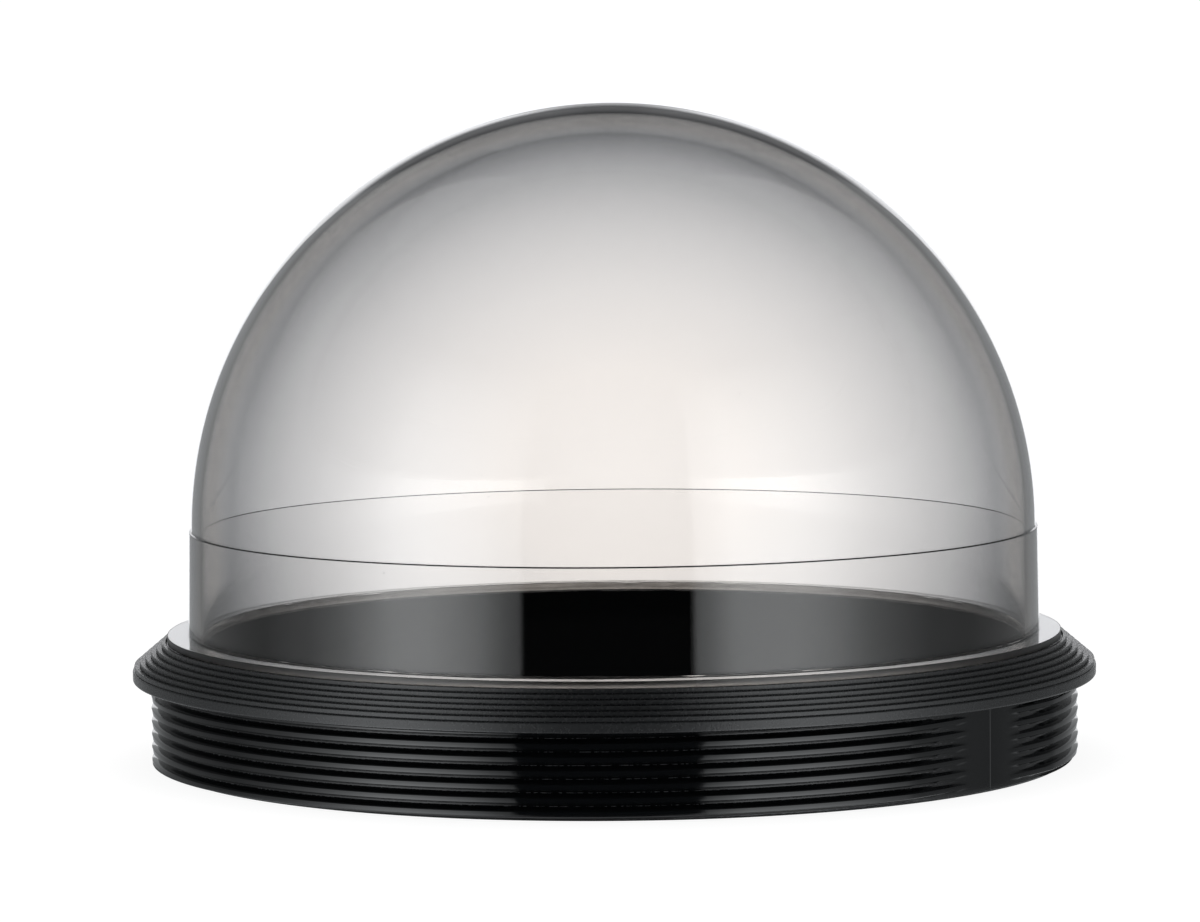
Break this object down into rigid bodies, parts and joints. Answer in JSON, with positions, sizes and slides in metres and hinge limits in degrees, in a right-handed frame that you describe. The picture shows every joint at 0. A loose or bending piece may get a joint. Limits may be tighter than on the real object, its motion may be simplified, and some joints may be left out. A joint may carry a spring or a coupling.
{
  "type": "dome camera cover",
  "caption": "Smoked hemispherical cover for a dome surveillance camera, bonded to an externally threaded screw-in ring with a ribbed lift-off trim ring.",
  "frame": {"origin": "centre of the screw ring's foot, where the dome's axis meets the plane that the foot stands on", "axes": "+Z along the dome's axis, from the ring's foot to the crown of the dome; -Y is the front, which faces the viewer"},
  "size_m": [0.1756, 0.1756, 0.1194],
  "materials": {
    "smoked_plastic": "clear smoked polycarbonate, polished",
    "sealant": "translucent cured sealant",
    "gloss_black": "gloss, as moulded",
    "matt_black": "fine spark-eroded texture, matt"
  },
  "bodies": {
    "cover": {"dome_bubble": "smoked_plastic", "flange_sealant": "sealant", "screw_ring": "gloss_black"},
    "trim": {"trim_ring": "matt_black"}
  },
  "joints": [
    {"name": "trim_lift", "type": "slide", "parent": "cover", "child": "trim", "axis": [0, 0, 1], "range_m": [0, 0.106]}
  ]
}
